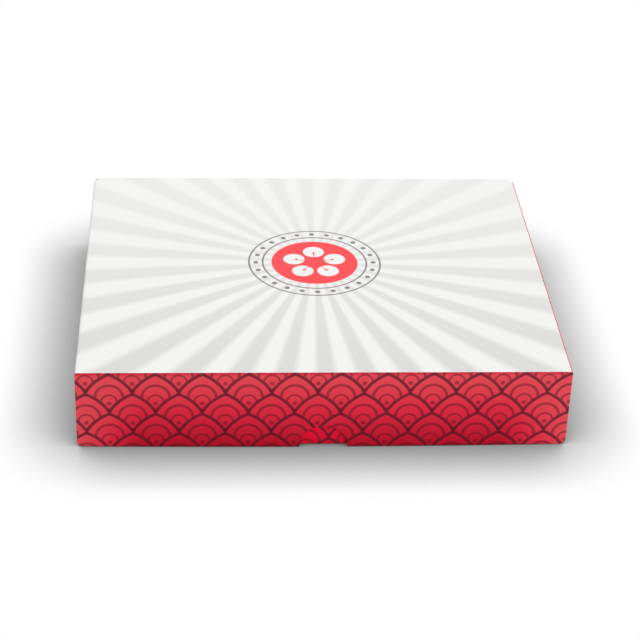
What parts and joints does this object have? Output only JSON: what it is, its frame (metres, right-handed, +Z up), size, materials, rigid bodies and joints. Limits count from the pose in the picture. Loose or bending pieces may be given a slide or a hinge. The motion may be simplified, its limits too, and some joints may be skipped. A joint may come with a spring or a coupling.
{
  "type": "takeout carton",
  "caption": "Shallow rectangular paperboard takeout carton with a hinged lid whose skirts hang outside the tray, a thumb notch, sun rays on the top and a wave pattern on the front.",
  "frame": {"origin": "on the table, under the middle of the closed carton's bounding box", "axes": "+X to the right as seen from the front (the longest side), +Y from the front to the hinge, +Z up (the shortest side); the thumb notch faces -Y"},
  "size_m": [0.23, 0.198, 0.041],
  "materials": {
    "printed_board": "satin",
    "white_board": "satin",
    "red_ink": "satin",
    "maroon_ink": "satin",
    "pale_grey_ink": "satin",
    "coral_ink": "satin",
    "warm_grey_ink": "satin"
  },
  "bodies": {
    "tray": {"tray": "printed_board"},
    "lid": {"lid": "white_board", "skirt_print": "red_ink", "wave_lines": "maroon_ink", "sun_rays": "pale_grey_ink", "emblem": "coral_ink", "emblem_rings": "warm_grey_ink"}
  },
  "joints": [
    {"name": "lid_hinge", "type": "hinge", "parent": "tray", "child": "lid", "pos_m": [0, 0.0987, 0.0406], "axis": [-1, 0, 0], "range_deg": [0, 180]}
  ]
}
